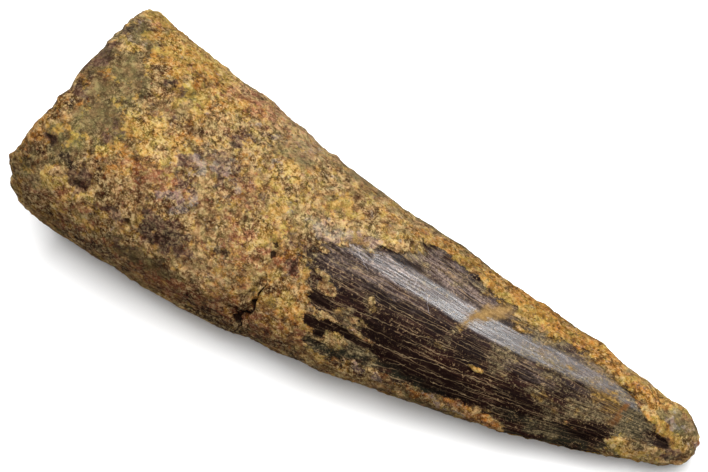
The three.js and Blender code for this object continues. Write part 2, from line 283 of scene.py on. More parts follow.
# Stains, each in soft ovals on the upper side: the rock's iron and manganese, bare bone, and
# the dust on the enamel. Some ovals are painted light and shade as well: the painted sheen on the
# enamel, and the dark brown, soot and olive ovals along the convex edge and low in the window.
# The lower side has its own, by distance and degrees round.
UPPER_STAINS = {
    "yellow": [
        (11, -11, 7, 3.4, 1), (14.5, -6, 3, 2, 0.8), (12, 1.5, 5, 3, 0.7), (19, -8.5, 4, 2.4, 0.5),
        (31.5, -3, 4.5, 3.6, 0.4), (33, 4.5, 3, 3, 0.5), (37, -3, 4, 3, 0.2),
        (41.5, -2.8, 5, 1.8, 0.4), (46.6, -2.4, 3, 1.4, 0.4), (5, 13.8, 4, 1.6, 0.7),
        (2.5, 7, 3, 2.4, 0.6), (7, 7, 1.6, 1, 0.9), (30, 15.7, 2.2, 0.7, 0.8),
        (24.6, -4.4, 0.9, 0.9, 1), (3, -8.4, 2.2, 0.5, 1), (60, -5.4, 7, 1.2, 0.7),
        (70, -4.2, 8, 1.5, 1), (80, -3.6, 8, 1.5, 1), (88, -2.4, 3.5, 1.6, 1),
        (85.6, 1.4, 2.8, 1.2, 1), (92.5, -2.8, 4, 0.9, 0.9), (93.6, 0.9, 2.6, 0.8, 0.9),
        (96.4, 2, 1.4, 0.8, 0.8), (8, -14, 6, 1.5, 0.8), (83, 0.5, 2.6, 0.8, 0.3),
        (40, 13, 3, 2.4, 0.5), (67.5, 6.85, 1.8, 0.9, 1), (91, 6.2, 3.4, 1.2, 0.8),
        (70, -1.1, 1.4, 0.6, 0.8),
    ],
    "orange": [
        (8, -12, 5, 2, 0.5), (9.5, -7.8, 3.6, 1.4, 0.6), (13, -9.5, 5, 2, 0.6),
        (18.5, -7, 3, 1.6, 0.5), (2.5, -2.5, 1.3, 1.2, 1), (0.3, -0.5, 0.8, 0.8, 1),
        (-1.6, 4, 0.9, 2, 1), (-2.4, 9, 1, 4, 0.9), (1.8, 2.2, 1.4, 0.5, 0.7),
        (17, -0.5, 2.4, 1.2, 0.5), (34, 12.5, 7, 4, 0.5), (40, 11, 3.6, 4, 0.4),
        (10, 6, 5, 3, 0.6), (37.2, 6.6, 1.6, 1.4, 0.9), (26, -9, 7, 2, 0.4), (50, -5.6, 5, 1, 0.4),
        (58, -6, 5, 1.4, 0.7), (66, -5.4, 5, 1.4, 1), (74, -4.5, 5, 1.5, 1), (82, -3.6, 5, 1.5, 1),
        (89.5, -1.8, 3.5, 1.7, 1), (92.4, 0, 2.2, 0.8, 0.7), (70, -1.1, 1.2, 0.5, 1),
        (70, 12.4, 5.5, 1, 0.9), (62, 14, 4, 0.8, 0.7), (49, 15.8, 4, 0.6, 0.5),
    ],
    "red": [
        (14, 6.2, 4, 2, 0.8), (18.5, 6.5, 2.4, 1.8, 0.8), (22.5, -9.8, 5, 1.8, 0.8),
        (29.5, 6.5, 3, 2, 0.6), (37.5, 7.2, 2, 1.5, 0.7), (6, 15, 3, 1.1, 0.7),
        (36, 17, 8, 2, 0.8), (24, 18.2, 8, 1.4, 0.9), (40, 14.5, 5, 2, 0.2), (12, 18, 8, 1.2, 0.6),
        (28, 1.5, 2.4, 2.4, 0.5), (99.2, -0.2, 0.8, 1.3, 0.7), (82, 10.6, 1.6, 0.6, 0.9),
        (70, 12.6, 5, 0.8, 0.7), (82.8, 7.1, 1.6, 0.7, 1), (31, 9, 4, 3, 0.5),
    ],
    # Olive bone and crust, and green-black ovals low in the enamel window that are painted shade.
    "olive_and_shade": [
        (4, -3, 5, 5, 0.9), (5, 3, 4, 4.4, 0.8), (2.5, 8, 3.4, 3, 0.8), (7.5, -9.6, 1.5, 1.2, 0.8),
        (19, 17, 7, 1.1, 0.9), (-0.5, 13, 3, 3, 0.6), (12.5, -6.4, 3, 1, 0.6),
        (30, -6.5, 3.6, 2.2, 0.5), (38.5, 0.8, 2, 1.4, 0.6), (41.6, 0.3, 2.6, 1.1, 0.3),
        (43, -8.3, 6.5, 0.8, 0.8), (56, -7.6, 7, 0.9, 0.8), (66, 14.8, 10, 0.8, 0.7),
        (95.2, -0.7, 3.4, 1.5, 0.75), (47.4, 15.2, 2.6, 0.8, 0.9), (84, 8.8, 3.6, 0.9, 0.9),
        (79, 10, 5, 0.9, 0.8), (60, 12.8, 8, 0.7, 0.9), (90.2, 2.8, 2.8, 2.4, 0.9),
        (51, 14, 3.4, 0.7, 0.9), (3.4, -10.2, 2.6, 1.8, 0.9), (90, 7.4, 3, 0.7, 0.7),
    ],
    "plum": [
        (1.6, -9.6, 1.2, 1.2, 0.7), (0.6, -5.5, 1.2, 2.8, 0.9), (-0.2, -3.2, 0.8, 1.8, 0.9),
        (0.2, 1, 1.4, 1, 0.8), (7, 3.5, 1.1, 2, 0.8), (11.5, -6.3, 1.4, 0.6, 0.8),
        (12, -1.9, 2.6, 1, 0.6), (23, -3.9, 1.7, 0.8, 1), (24, -5.4, 1.6, 0.6, 0.9),
        (22.5, -1, 3, 1.4, 0.6), (24.5, 1, 2.4, 2.2, 0.6), (18.5, 2.5, 2, 1.6, 0.7),
        (20, 5, 2, 2.8, 0.6), (6.8, 11.5, 2.2, 1.8, 1), (13, 13.4, 2.8, 0.8, 0.9),
        (20.5, 12.5, 4.4, 2.4, 1), (37, 3.8, 1.4, 1.1, 0.7), (39, 4, 1.6, 1.6, 0.65),
        (29, 0.8, 1.4, 1.2, 0.5), (-0.3, 8.8, 1, 1, 0.9), (38.6, 7.4, 1.1, 1.2, 0.8),
        (16, 16.7, 4, 0.6, 0.5), (96, 3.2, 1.6, 1.2, 0.7),
    ],
    "pale": [
        (23, 0.3, 1.6, 1.1, 1), (20.4, 1.5, 1.5, 1.8, 0.9), (19.5, 7.6, 2.8, 1.4, 0.9),
        (21.5, 6.5, 1.6, 1.9, 0.8), (17, 2.4, 1.2, 1.2, 0.6), (27, -6.5, 1, 0.9, 1),
        (31, -8, 4, 1.6, 0.3), (25.6, 2, 1.8, 1.2, 0.6), (39.8, 0.7, 3, 1.6, 1),
        (43, -0.4, 2, 0.8, 0.8), (29, -3, 2, 1.6, 0.4), (88.7, -2.5, 0.9, 0.8, 0.7),
        (95.4, -0.6, 2.6, 1, 0.7), (54.5, 15, 4, 0.6, 0.8), (99, 0.2, 0.7, 1, 0.6),
        (2.4, -10.2, 2.4, 2, 0.6), (46, -1.2, 3, 1, 0.9), (33, -9, 3.4, 2, 0.4),
        (66.4, 13.5, 3, 0.8, 0.9), (24.6, -6, 2.4, 1.6, 0.4),
    ],
    # Manganese spots; the long ovals along the convex edge are painted shade.
    "soot_and_shade": [
        (2.2, -10.2, 2.2, 1.6, 0.5), (52, 15.9, 8, 0.6, 0.6), (13, 18.6, 8, 0.8, 0.8),
        (1.5, 11.5, 1.4, 1, 0.5), (28.6, 10.8, 2.2, 1.6, 0.6), (4, 10.2, 1, 0.8, 0.9),
        (-0.3, 8.8, 0.7, 0.7, 0.9), (7, 11.8, 1.4, 1.1, 0.8), (19.8, 12.6, 3.6, 1.4, 0.85),
        (22.5, 12, 1.2, 1.2, 0.6), (11.3, -6.4, 0.6, 0.4, 0.9), (23.2, -4, 1.4, 0.5, 0.7),
        (99.3, 1.5, 0.7, 0.7, 1), (97.2, 3.8, 1.1, 0.6, 0.9), (91.5, 7.5, 3, 0.3, 0.7),
        (0.4, 3, 0.8, 0.4, 0.8), (38.8, 7.4, 0.8, 0.9, 0.7), (33, 18, 3, 0.6, 0.7),
        (95.4, 3.2, 1.2, 0.6, 0.6), (34, 19, 9, 1.2, 0.8), (44, 17.6, 6, 0.9, 0.7),
        (90.6, 5.2, 1.8, 0.2, 0.8), (2.6, -10.6, 1.2, 0.5, 0.6),
    ],
    # Brown stain, and painted shade along the convex edge and under the window.
    "brown_and_shade": [
        (2, 17.4, 9, 2.4, 0.7), (14, 17.8, 9, 2.4, 0.5), (24, 17.8, 9, 2.4, 0.6),
        (34, 17, 9, 3, 0.8), (44, 15.8, 7, 2.4, 0.95), (9.5, -4, 1.8, 1.8, 0.4),
        (68, 12.8, 9, 1.2, 0.4), (52, 15.4, 6, 1.6, 1), (60, 14.4, 7, 1.2, 1),
        (-2.6, 14.6, 2.4, 2, 0.8), (25, 7.6, 3, 2, 0.4), (17, 11.5, 7, 3.4, 0.7),
        (8, 10.4, 5, 2.8, 0.9), (-1, 4, 2, 9, 0.8), (-1.5, 11, 3, 3.6, 0.8), (38, 8, 4, 4, 0.5),
    ],
    "bleached": [
        (22, -12, 6, 2.4, 0.6), (50, -8, 7, 1.6, 0.5), (29.5, 15, 3.4, 2, 0.6),
        (21.5, -0.6, 3, 1.6, 0.5), (1.6, 15.4, 2.4, 1.4, 0.5), (30, -11, 7, 4.4, 1),
        (41, 0.2, 3.6, 1.8, 1), (45.6, -1.4, 3.4, 1.2, 1), (38, -9.6, 6, 2.4, 0.6),
        (88, -4.2, 4.5, 1.3, 0.8), (95, -2.6, 3.5, 1.4, 0.4), (12, -13.4, 5, 1.6, 0.4),
    ],
    # painted sheen: grey streaks on the enamel standing in for its reflection
    "painted_sheen": [
        (44.5, 2.6, 5, 2.4, 0.35), (50.5, 3, 7, 1, 0.6), (60, -2, 6, 1.2, 0.9),
        (48, 0.6, 8, 1.5, 0.7), (80, 0, 8, 1.4, 0.25), (55, -3.2, 5, 1.4, 0.9),
        (74, 3.6, 4, 1.2, 0.3), (80, -1.8, 8, 0.8, 0.4),
    ],
    "dust": [
        (69.6, 4, 2.8, 2.2, 0.6), (62.6, 3.5, 1, 0.7, 0.5), (62, 5, 0.7, 1.4, 0.3),
        (60.6, 8.4, 1, 2, 0.3), (77.6, 3, 3, 1.2, 0.5), (52.4, -2.8, 1.6, 1.3, 0.9),
        (76.5, 0.4, 5, 0.9, 0.6), (83, 0.5, 3, 0.9, 0.75), (77, 5.6, 2.8, 1.4, 0.7),
        (79.4, 7.4, 2, 2.2, 0.55), (82.8, 5.2, 2.2, 1.4, 1), (84.2, 3.6, 3, 1.2, 0.8),
        (85.6, 1.4, 3.2, 1.3, 1), (90, 2.8, 2.8, 2.4, 0.75), (92.6, 3, 1.6, 0.8, 0.4),
        (75, 1.2, 4, 0.9, 0.5), (72.5, -1.6, 4.4, 0.9, 0.9), (82, -1.8, 6, 0.7, 0.6),
        (59.5, -2.6, 3, 0.6, 0.6), (54.4, -1.5, 0.8, 0.8, 0.8), (52.4, 12.8, 3.6, 0.8, 1),
        (48.8, 9.6, 3, 1, 0.8), (50.3, 6.2, 1, 1.2, 0.7), (73.5, 6.6, 3, 0.8, 0.5),
        (57, 9.3, 4, 0.8, 0.3), (86, -0.2, 4, 0.8, 0.5), (80, 10, 4, 0.9, 0.6),
        (62, -3.4, 4, 0.7, 0.5),
    ],
}
BACK_STAINS = {
    "yellow": [
        (14, 190, 7, 30, 0.5), (33, 230, 7, 30, 0.6), (50, 250, 6, 20, 0.6), (20, 95, 8, 24, 0.8),
        (46, 88, 7, 16, 0.8), (92, 95, 6, 16, 0.8),
    ],
    "orange": [
        (22, 260, 8, 22, 0.8), (64, 115, 12, 10, 0.8), (84, 240, 8, 14, 0.8),
        (38, 108, 6, 14, 0.9), (74, 84, 9, 14, 0.9), (8, 118, 4, 12, 0.7),
    ],
    "red": [
        (12, 240, 5, 18, 0.5), (40, 190, 5, 20, 0.5), (30, 78, 6, 14, 0.8), (13, 108, 5, 10, 0.7),
        (56, 106, 6, 8, 0.7),
    ],
    "olive_and_shade": [
        (4, 210, 5, 40, 0.8), (30, 165, 6, 18, 0.7), (96, 200, 4, 40, 0.7), (4, 80, 4, 22, 0.9),
        (84, 104, 6, 10, 0.7),
    ],
    "plum": [
        (20, 200, 5, 16, 0.8), (40, 240, 5, 16, 0.8), (8, 160, 4, 14, 0.7), (26, 112, 5, 9, 1),
        (9, 92, 2.6, 12, 0.9), (52, 82, 4, 7, 0.9), (33, 60, 4, 8, 0.6),
    ],
    "pale": [
        (27, 215, 4, 14, 0.7), (54, 140, 5, 8, 0.5), (36, 84, 4, 10, 0.8), (16, 74, 4, 8, 0.6),
        (62, 96, 5, 6, 0.6),
    ],
    "soot_and_shade": [
        (34, 205, 2.5, 8, 0.8), (14, 225, 2, 8, 0.8), (27, 98, 1.8, 5, 0.9),
        (44, 104, 2.4, 4, 0.9), (18, 118, 2, 5, 0.8), (68, 98, 3, 4, 0.7),
    ],
    "brown_and_shade": [(30, 135, 30, 22, 0.7), (10, 270, 10, 16, 0.4), (60, 122, 20, 10, 0.5)],
    "bleached": [(50, 255, 20, 14, 0.6)],
    "painted_sheen": [(58, 190, 10, 20, 0.6)],
    "dust": [(62, 170, 9, 22, 0.6), (82, 190, 8, 22, 0.8)],
}
# Waves bend the ovals' edges. The crown's far flank, past its concave edge, is mostly olive.
drift = waves([(0.5, 0.7, 1.9, 0), (0.35, 3.1, -1.3, 1)])
drift_across = waves([(0.4, 1.7, 0.9, 0), (0.3, 2, 2.9, 0)])
far_side = smoothstep(-facing, -0.3, 0.0) * smoothstep(-across, 3.0, 5.5)
far_side *= 0.8 * smoothstep(distance + 3 * drift + 3 * drift_across, 30, 44)
far_side *= smoothstep(facing, -0.75 + 0.1 * drift, -0.35 + 0.1 * drift)
for stain, spots in UPPER_STAINS.items():
    back_spots = [
        (x, turn * MILLIMETRES_PER_DEGREE, half_length, turns * MILLIMETRES_PER_DEGREE, strength)
        for x, turn, half_length, turns, strength in BACK_STAINS[stain]
    ]
    on_upper = soft_spots(spots, along + drift, across + drift_across) * upper
    if stain == "olive_and_shade":
        on_upper = np.maximum(on_upper, far_side)
    on_back = soft_spots(back_spots, distance, round_the_back) * (1 - upper)
    add_attribute(stain, on_upper + on_back)

# Clay smeared over the enamel, the dark patches that the dust leaves free, partly painted shade
# along the step at the window's upper edge and low in the window, and a crack that has healed
# near the tip.
SMEAR = [
    (62.6, 2.2), (62.8, 0.8), (63.8, -0.6), (64.3, -1.6), (65.6, -2.3), (67.4, -3.2), (68.2, -2.6),
    (67.6, -1.7), (66.4, -0.6), (65.3, 0.3), (64.2, 0.9), (63.4, 2.2),
]
# Dust-free dark enamel; the thin spot at 51.4 along the step and the spots low in the window are
# painted shade.
CLEAN_SPOTS = [
    (79.9, 3.5, 2.8, 1.3, 0.15), (84.2, 7.4, 2.4, 0.9, 0.8), (86.6, 6, 2, 1, 0.8),
    (74.2, 4.3, 2.4, 1, 0.6), (74.5, 7.6, 4, 1.2, 0.8), (65.6, 5.6, 2.6, 2.8, 0.7),
    (54.5, 4.6, 7, 1.4, 0.6), (55.5, 8.2, 5, 1, 0.6), (47, 7, 2.4, 1.2, 0.5),
    (61, 10.8, 9, 2.2, 1), (50.5, 11.9, 4, 0.5, 1), (54, 9.2, 5, 1.2, 0.8),
    (44.3, 9.4, 2.2, 0.9, 0.8), (46.3, 12.7, 1.3, 1.4, 1), (44.2, 12.5, 1.2, 0.8, 1),
    (57, -4.2, 5, 0.8, 0.4), (51.4, -1.2, 3.4, 0.5, 1), (93.8, 2, 2.4, 0.5, 0.2),
    (95, 2.8, 1.2, 0.8, 0.6),
]
HEALED_CRACK = [(88.1, 0.6), (87.9, 3.4), (87.1, 5.4), (86.4, 7.6)]
smear_depth = np.clip(depth_inside(SMEAR, along, across), -DEPTH_KEPT, DEPTH_KEPT)
add_attribute("smear", smear_depth * upper - DEPTH_KEPT * (1 - upper))
add_attribute("clean_and_shade", soft_spots(CLEAN_SPOTS, along, across) * upper)
healed = smoothstep(-np.abs(from_lines([HEALED_CRACK], along, across)), -0.65, -0.1)
add_attribute("healed", healed * smoothstep(-across, -5.5, -2.5) * upper)

# Scratches over the bright end of the enamel, the longest of the fine lines along it, and the
# part that is worn to a polish, which fades towards the tip.
SCRATCHES = [
    [(43.6, 0.2), (45.4, 1), (47.4, 2.3)],
    [(54.1, 0), (54.3, 1)],
    [(56.6, 1.5), (57.2, 2.5), (57.9, 3.3)],
    [(49, 1.8), (52, 2), (53.6, 2.1)],
]
LONG_LINES = [
    [(43.5, 5), (46, 4.85), (52, 5), (55, 5.05), (57.5, 4.85), (60, 4.45), (62, 4.3)],
    [(64, 4.5), (66, 4.35), (68.4, 4.5)],
    [(42.5, 6), (46, 6.1), (49.5, 6)],
    [(42.2, 3.8), (45, 3.6), (48.6, 3.7), (53, 3.6), (58, 3.2)],
    [(45.5, 8.6), (47.5, 8.3), (51, 7.9), (54, 7.5), (57.5, 7), (60, 6.3), (63.5, 5.8)],
    [(57, 8.4), (60, 7.8), (61.5, 7.7), (64, 7), (66, 6.5)],
    [(54, 10.75), (58, 10.3), (60, 9.6), (63, 9.05), (66, 8.6), (69, 8), (73, 7.7)],
    [(56.5, 12.2), (57.5, 11.9), (58.5, 11.4)],
    [(60.5, 10.9), (63, 10.4), (66, 9.9), (70, 9.3)],
    [(63, 11.6), (66, 11.1), (70, 10.5), (75, 9.6)],
    [(72.6, 3.2), (75, 2.9), (77, 2.6)],
    [(74, 8.6), (76, 8.3), (78.5, 8)],
    [(56, -3.4), (60, -3.5), (63, -3.2)],
]
POLISH = [
    (43.2, 0.2), (46.3, 0.1), (48.2, -0.7), (54.5, -0.75), (60, -0.65), (65, -0.5), (68, -0.6),
    (72, -1), (78, -1.3), (85, -1.2), (90, -0.6), (91, 0.6), (85, 0.6), (80, 1), (76, 1.7),
    (70, 2.2), (64, 2.5), (56, 2.35), (50, 2.1), (47, 2), (44.5, 1.6), (42, 2.2), (41.3, 1.6),
]
POLISH_FADE = [(42, 1), (62, 1), (66, 0.75), (71, 0.54), (76, 0.38), (82, 0.33), (90, 0.24)]
for name, lines in (("scratch", SCRATCHES), ("long_line", LONG_LINES)):
    off_line = from_lines(lines, along, across + wobble * 0.5)
    add_attribute("from_" + name, np.clip(off_line, -3, 3))
    add_attribute("near_" + name, smoothstep(-np.abs(off_line), -0.5, -0.35) * upper)
polish = smoothstep(depth_inside(POLISH, along, across), -0.15, 0.3) * upper
polish *= from_table(POLISH_FADE, along)
add_attribute("polish", polish + 0.5 * (1 - upper))

# The face of the break: the root's wall round the sandstone in its pulp cavity.
BREAK_HALF_WIDTH = 17.0
BREAK_HALF_HEIGHT = 13.0
on_break = smoothstep(-normal[:, 0], 0.5, 0.85) * smoothstep(-distance, -9, -7)
on_plane = np.stack([np.ones(len(place)), place[:, 1], place[:, 2]], 1)
from_break = place[:, 0] - fitted(on_plane, place[:, 0], on_break > 0.9)
near_break = smoothstep(-from_break, -2.6, -0.4)
towards_rim = np.hypot(from_centre_y / BREAK_HALF_WIDTH, from_centre_z / BREAK_HALF_HEIGHT)
add_attribute("wall", on_break * smoothstep(towards_rim, 0.58, 0.66))


# ---- The tooth: relief ----------------------------------------------------------------------
# The crust is lumpy, pitted sandstone, a little proud of the enamel. The enamel is finely
# ridged along its length, and planed flat on its broad facet.
WEIGHT_STEPS = 40
RIDGES = 49


def add_group(name, weights):
    """A vertex group, under a name that no attribute has, because materials read both."""
    group = tooth.vertex_groups.new(name=name + "_weights")
    steps = np.round(np.clip(weights, 0, 1) * WEIGHT_STEPS).astype(int)
    for step in range(1, WEIGHT_STEPS + 1):
        chosen = np.nonzero(steps == step)[0].tolist()
        if chosen:
            group.add(chosen, step / WEIGHT_STEPS, "REPLACE")
    return group.name


def displace(name, weights, height, cloud_size=None, cloud_depth=1):
    """Raise the surface where the weights say, evenly or in clouds, by some millimetres."""
    relief = tooth.modifiers.new(name, "DISPLACE")
    relief.vertex_group = add_group(name, weights)
    relief.strength = height / 1000
    relief.mid_level = 0.5 if cloud_size else 0
    if cloud_size:
        relief.texture = bpy.data.textures.new(name, "CLOUDS")
        relief.texture.noise_scale = cloud_size / 1000
        relief.texture.noise_depth = cloud_depth
        relief.texture_coords = "LOCAL"
    bpy.ops.object.modifier_apply(modifier=relief.name)


# The enamel's broad facet, flat across between two soft edges along the tooth.
FACET = [
    (40.5, -1.8), (46, -1.4), (50, -1.4), (62, -1.1), (70, -1.4), (78, -1.8), (91, -1.4), (91, 1),
    (80, 1.4), (72, 2.4), (60, 2.6), (50, 2.2), (42, 2.2),
]
# Bare bone and packed clay, smoother than the sandstone round them.
SMOOTH_SPOTS = [(33.4, 13.4, 5, 2.4, 0.6), (39.6, 13.6, 3, 2.2, 0.5), (75, -3.8, 12, 1.6, 0.6)]
smooth = soft_spots(UPPER_STAINS["olive_and_shade"] + SMOOTH_SPOTS, along, across) * upper
add_attribute("smooth", smooth)
on_facet = smoothstep(depth_inside(FACET, along, across), -0.3, 0.3) * upper
add_attribute("facet", on_facet)
crusted = (1 - enamel) * (1 - 0.6 * smooth)
ridged = enamel * (1 - 0.8 * on_facet) * (0.5 + 0.5 * np.cos(angle * RIDGES))
displace("lumps", crusted, 0.35, 1.8, 2)
displace("hollows", crusted, 0.4, 0.8)
displace("ledge", enamel, -0.2)
displace("break", near_break, 0.9, 2.6, 2)
displace("ridges", ridged, 0.018)
displace("crack", crack, -CRACK_DEPTH)

# The knobs and notches of the broken rim: [place across, how far it is moved to the crown].
RIM = [
    (-13, 0), (-11.8, -0.3), (-10, 0), (-9.2, 0.6), (-8.6, 1.1), (-7.7, 0.6), (-7, 0.25),
    (-6.3, 0.5), (-5, 0.1), (-3.2, -0.25), (-2.2, -0.35), (-1, -0.4), (0.5, 0), (1.6, 0.3),
    (2.3, -0.2), (3.2, -0.45), (4, -0.1), (5, 0.15), (6, 0.3), (7.4, -0.3), (8.6, -0.1), (9.8, 0),
    (11.6, 0.4), (12.6, 0.1), (13.6, -0.4), (15, -0.15), (16.4, -0.4), (17.5, 0), (18.6, 0.4),
]
# Low swells and dips of the crust: [place along, how far it stands out], on the concave and
# the convex edge, and at the tip by place across.
CONCAVE_EDGE = [
    (0, 0.4), (2, 0), (5, -0.3), (9, 0.2), (17, 0.2), (21, -0.1), (24, 0.3), (26, 0), (29, 0.2),
    (32.5, -0.3), (35, -0.2), (37, 0.1), (42, 0.1), (44.4, 0.3), (50, -0.2), (54, -0.1), (58, 0.2),
    (60, -0.1), (66, -0.3), (69, -0.1), (72, 0.4), (75, 0), (76.5, -0.1), (81.5, 0.7), (85, 0.2),
    (87, -0.1), (91, -0.1), (93, 0.1), (96, 0),
]
CONVEX_EDGE = [
    (0, 0.2), (3, 0.2), (9, 0.4), (13, 0.3), (15, 0), (21.5, -0.1), (26, 0.1), (30, 0.3),
    (36, 0.1), (38, -0.4), (40, -0.1), (44, 0), (46, 0.3), (50, 0.2), (53, -0.4), (55, 0),
    (57, 0.2), (60, 0), (64, -0.2), (68, -0.3), (70, -0.2), (73, 0.2), (79, 0.2), (82.5, -0.2),
    (84.6, 0.5), (88, 0.1), (92, 0), (97, 0), (98.5, 0.3),
]
TIP = [(-2, 0.9), (-1, 1), (0, 0.55), (1, 0.5), (2, 0.7), (3, 0.35), (4.5, 0.25)]
moved = read_vertices("co") * 1000
moved[:, 0] += from_table(RIM, across) * near_break * smoothstep(facing, -0.6, -0.1)
moved[:, 0] += from_table(TIP, across) * smoothstep(along, 95, 98.5)
on_edge = smoothstep(-np.abs(facing), -0.7, -0.2)
towards_convex = normal @ ACROSS
swell = from_table(CONVEX_EDGE, along) * smoothstep(towards_convex, 0.2, 0.5)
swell -= from_table(CONCAVE_EDGE, along) * smoothstep(-towards_convex, 0.2, 0.5)
moved += ACROSS * (swell * on_edge)[:, None]

# The facet is planed: it lies flat across, and bends only along the tooth. Nothing reaches
# below the surface that the tooth rests on.
outward = -np.cross(ALONG, ACROSS)
standing_out = moved @ outward
terms = np.stack([along**0, along, along**2, along**3, across, along * across], 1)
planed = fitted(terms, standing_out, on_facet > 0.99)
moved += outward * ((planed - standing_out) * on_facet * enamel)[:, None]
moved[:, 2] = np.maximum(moved[:, 2], 0)
resting = moved / 1000
mesh.vertices.foreach_set("co", resting.ravel())

# How far each vertex stands above the middle of its neighbours, for painted shade in the hollows
# and painted light on the rises. It is evened out twice, and counted in steps of STANDING_STEP.
STANDING_STEP = 0.02
edges = np.empty(len(mesh.edges) * 2, int)
mesh.edges.foreach_get("vertices", edges)
first, second = edges.reshape(-1, 2).T
total = np.zeros_like(resting)
count = np.zeros(len(resting))
np.add.at(total, first, resting[second])
np.add.at(total, second, resting[first])
np.add.at(count, first, 1)
np.add.at(count, second, 1)
standing = ((resting - total / count[:, None]) * read_vertices("normal")).sum(1) * 1000
for _ in range(2):
    spread = np.zeros(len(resting))
    np.add.at(spread, first, standing[second])
    np.add.at(spread, second, standing[first])
    standing = (standing + spread / count) / 2
add_attribute("standing", np.clip(standing / STANDING_STEP, -2, 2))


# ---- The tooth: its material ----------------------------------------------------------------
# Ochre sandstone over dark mineralised enamel and bone, stained with iron and manganese.
# Colours are given as they look in full light, which is this much brighter than plain white.
FULL_LIGHT = 1.5


def add_node(tree, kind, inputs=None, **settings):
    made = tree.nodes.new(kind)
    for name, value in settings.items():
        setattr(made, name, value)
    for name, value in (inputs or {}).items():
        if isinstance(value, bpy.types.NodeSocket):
            tree.links.new(value, made.inputs[name])
        else:
            made.inputs[name].default_value = value
    return made


def tone(red, green, blue):
    """A colour of 0 to 255 steps in full light as the linear colour of the surface."""
    steps = [channel / 255 for channel in (red, green, blue)]
    linear = [((s + 0.055) / 1.055) ** 2.4 if s > 0.04 else s / 12.92 for s in steps]
    return (*(channel / FULL_LIGHT for channel in linear), 1)


def maths(tree, operation, a, b=0.0, c=0.0, clamp=False):
    inputs = {0: a, 1: b, 2: c}
    made = add_node(tree, "ShaderNodeMath", inputs, operation=operation, use_clamp=clamp)
    return made.outputs[0]


def ramp(tree, value, low, high, to_low=0.0, to_high=1.0, kind="SMOOTHSTEP"):
    inputs = {"Value": value, "From Min": low, "From Max": high}
    inputs |= {"To Min": to_low, "To Max": to_high}
    return add_node(tree, "ShaderNodeMapRange", inputs, interpolation_type=kind).outputs[0]


def mix(tree, factor, a, b, blend="MIX"):
    inputs = {0: factor, 6: a, 7: b}
    made = add_node(tree, "ShaderNodeMix", inputs, data_type="RGBA", blend_type=blend)
    return made.outputs[2]


# Ragged patches of one size, which cover about as much of the surface as the amount says.
patches = bpy.data.node_groups.new("patches", "ShaderNodeTree")
patches.interface.new_socket("Place", in_out="INPUT", socket_type="NodeSocketVector")
for label, usual in (("Size", 1.0), ("Amount", 0.5), ("Edge", 0.05), ("Raggedness", 0.6)):
    socket = patches.interface.new_socket(label, in_out="INPUT", socket_type="NodeSocketFloat")
    socket.default_value = usual
patches.interface.new_socket("Mask", in_out="OUTPUT", socket_type="NodeSocketFloat")
given = patches.nodes.new("NodeGroupInput").outputs
result = patches.nodes.new("NodeGroupOutput")
per_millimetre = maths(patches, "DIVIDE", 1.0, given["Size"])
noise_inputs = {"Vector": given["Place"], "Scale": per_millimetre, "Detail": 3.0}
noise_inputs["Roughness"] = given["Raggedness"]
cloud = add_node(patches, "ShaderNodeTexNoise", noise_inputs).outputs["Fac"]
threshold = ramp(patches, given["Amount"], 0.0, 1.0, 0.78, 0.22, "LINEAR")
low_edge = maths(patches, "SUBTRACT", threshold, given["Edge"])
high_edge = maths(patches, "ADD", threshold, given["Edge"])
patches.links.new(ramp(patches, cloud, low_edge, high_edge), result.inputs["Mask"])

fossil = bpy.data.materials.new("fossil")
fossil.use_nodes = True
tree = fossil.node_tree
surface = tree.nodes["Principled BSDF"]
surface.inputs["Specular IOR Level"].default_value = 0.05
surface.inputs["Coat Roughness"].default_value = 0.2


def attribute(name, output="Fac"):
    return add_node(tree, "ShaderNodeAttribute", attribute_name=name).outputs[output]


def noise(where, size, detail=4.0, raggedness=0.6):
    inputs = {"Vector": where, "Scale": 1 / size, "Detail": detail, "Roughness": raggedness}
    return add_node(tree, "ShaderNodeTexNoise", inputs).outputs["Fac"]


def patch(where, size, amount, edge=0.05, raggedness=0.6):
    inputs = {"Place": where, "Size": size, "Amount": amount}
    inputs |= {"Edge": edge, "Raggedness": raggedness}
    return add_node(tree, "ShaderNodeGroup", inputs, node_tree=patches).outputs["Mask"]


def stretched(vector, scale, offset=(0, 0, 0)):
    inputs = {"Vector": vector, "Scale": scale, "Location": offset}
    return add_node(tree, "ShaderNodeMapping", inputs).outputs[0]


def shifted(offset):
    """Places in millimetres, shifted to where the same noise gives another pattern."""
    return stretched(in_millimetres, (1, 1, 1), offset)


def times(a, b):
    return maths(tree, "MULTIPLY", a, b)


def added(value, factor, onto):
    """A value times a factor, added onto another value."""
    return maths(tree, "MULTIPLY_ADD", value, factor, onto)


def by_mark(name, without, within):
    """One value where the tooth doesn't have a mark, and another where it is strong."""
    return ramp(tree, attribute(name), 0.0, 1.0, without, within)


coordinates = add_node(tree, "ShaderNodeTexCoord").outputs["Object"]
in_millimetres = stretched(coordinates, (1000, 1000, 1000))
course = attribute("course", "Vector")

